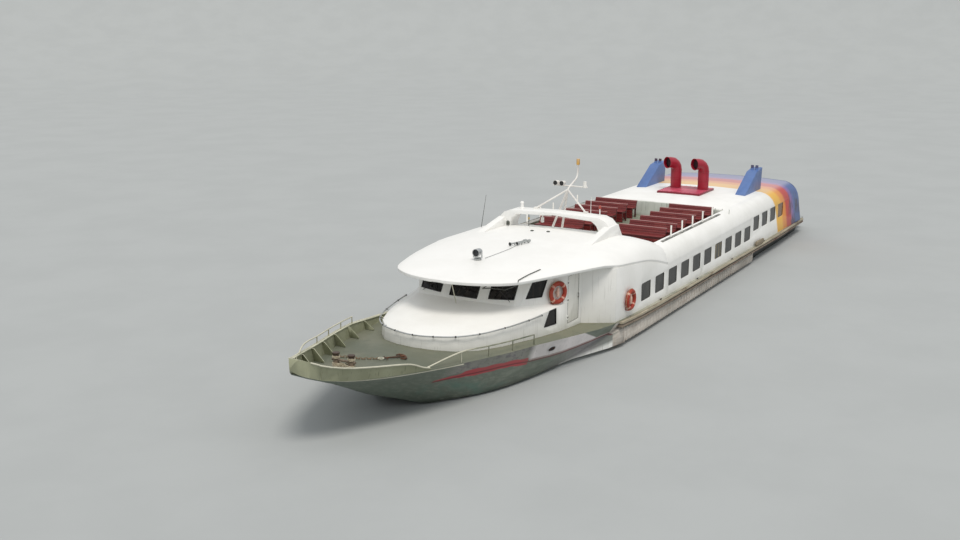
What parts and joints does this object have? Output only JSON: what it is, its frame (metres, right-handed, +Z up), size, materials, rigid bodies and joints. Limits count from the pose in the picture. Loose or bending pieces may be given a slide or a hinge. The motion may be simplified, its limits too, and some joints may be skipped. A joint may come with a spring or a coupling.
{
  "type": "passenger ferry",
  "caption": "Low fast passenger ferry with a fine flared bow, a wheelhouse under a wide visor roof, a long windowed cabin and an open bench deck on top",
  "frame": {"origin": "amidships on the centreline, at the waterline", "axes": "+X to the bow, +Y to port, +Z up"},
  "size_m": [35.26, 6.96, 6.76],
  "materials": {
    "hull_paint": "dull, weathered",
    "bulwark_paint": "dull, weathered",
    "white_paint": "satin",
    "deck_paint": "matt, anti-slip",
    "grey_paint": "satin",
    "crimson_paint": "satin",
    "bench_paint": "varnished and worn",
    "blue_paint": "satin",
    "buoy_plastic": "weathered",
    "rub_rubber": "scuffed",
    "iron": "painted dark",
    "rail_steel": "brushed",
    "bronze": "cast and polished"
  },
  "bodies": {
    "boat": {"hull": "hull_paint", "bulwark": "bulwark_paint", "bitts": "iron", "bow_rail": "rail_steel", "foot_rail": "rail_steel", "stern_platform": "grey_paint", "wheelhouse": "white_paint", "wheelhouse_roof": "white_paint", "grab_rail": "rail_steel", "cabin_roof": "white_paint", "upper_deck": "deck_paint", "well_front_wall": "white_paint", "well_aft_wall": "grey_paint", "end_wall": "blue_paint", "arch": "white_paint", "mast": "white_paint", "searchlight_base": "rail_steel", "vent_plate": "crimson_paint", "lifebuoy_fwd_port": "buoy_plastic", "lifebuoy_fwd_stbd": "buoy_plastic", "lifebuoy_aft_port": "buoy_plastic", "lifebuoy_aft_stbd": "buoy_plastic", "rub_rail_port": "rub_rubber", "rub_rail_stbd": "rub_rubber", "front_bulkhead_port": "white_paint", "front_bulkhead_stbd": "white_paint", "cabin_side_port": "white_paint", "cabin_side_stbd": "white_paint", "benches_port": "bench_paint", "benches_stbd": "bench_paint", "well_rail_port": "white_paint", "well_rail_stbd": "white_paint", "cowl_vent_port": "crimson_paint", "cowl_vent_stbd": "crimson_paint", "exhaust_fin_port": "blue_paint", "exhaust_fin_stbd": "blue_paint", "engine_port": "iron", "engine_stbd": "iron", "shaft_port": "rail_steel", "shaft_stbd": "rail_steel"},
    "end_door": {"end_door": "blue_paint"},
    "searchlight": {"searchlight": "rail_steel"},
    "side_door_port": {"side_door_port": "white_paint"},
    "propeller_port": {"propeller_port": "bronze"},
    "rudder_port": {"rudder_port": "hull_paint"},
    "side_door_stbd": {"side_door_stbd": "white_paint"},
    "propeller_stbd": {"propeller_stbd": "bronze"},
    "rudder_stbd": {"rudder_stbd": "hull_paint"}
  },
  "joints": [
    {"name": "side_door_port_hinge", "type": "hinge", "parent": "boat", "child": "side_door_port", "pos_m": [7.806, 2.452, 1.885], "axis": [0, 0, -1], "range_deg": [0, 100]},
    {"name": "side_door_stbd_hinge", "type": "hinge", "parent": "boat", "child": "side_door_stbd", "pos_m": [7.806, -2.452, 1.885], "axis": [0, 0, 1], "range_deg": [0, 100]},
    {"name": "end_door_hinge", "type": "hinge", "parent": "boat", "child": "end_door", "pos_m": [-15.32573, -0.386, 1.57537], "axis": [0.4472, 0, 0.8944], "range_deg": [0, 100]},
    {"name": "searchlight_pan", "type": "hinge", "parent": "boat", "child": "searchlight", "pos_m": [8.95, 0, 3.2], "axis": [0, 0, 1], "range_deg": [-170, 170]},
    {"name": "propeller_port_turn", "type": "hinge", "parent": "boat", "child": "propeller_port", "pos_m": [-14.45, 1.2, -1.02], "axis": [0.9903, 0, 0.1386], "continuous": true},
    {"name": "rudder_port_turn", "type": "hinge", "parent": "boat", "child": "rudder_port", "pos_m": [-15.35, 1.2, -0.9], "axis": [0, 0, 1], "range_deg": [-35, 35]},
    {"name": "propeller_stbd_turn", "type": "hinge", "parent": "boat", "child": "propeller_stbd", "pos_m": [-14.45, -1.2, -1.02], "axis": [0.9903, 0, 0.1386], "continuous": true},
    {"name": "rudder_stbd_turn", "type": "hinge", "parent": "boat", "child": "rudder_stbd", "pos_m": [-15.35, -1.2, -0.9], "axis": [0, 0, 1], "range_deg": [-35, 35]}
  ]
}
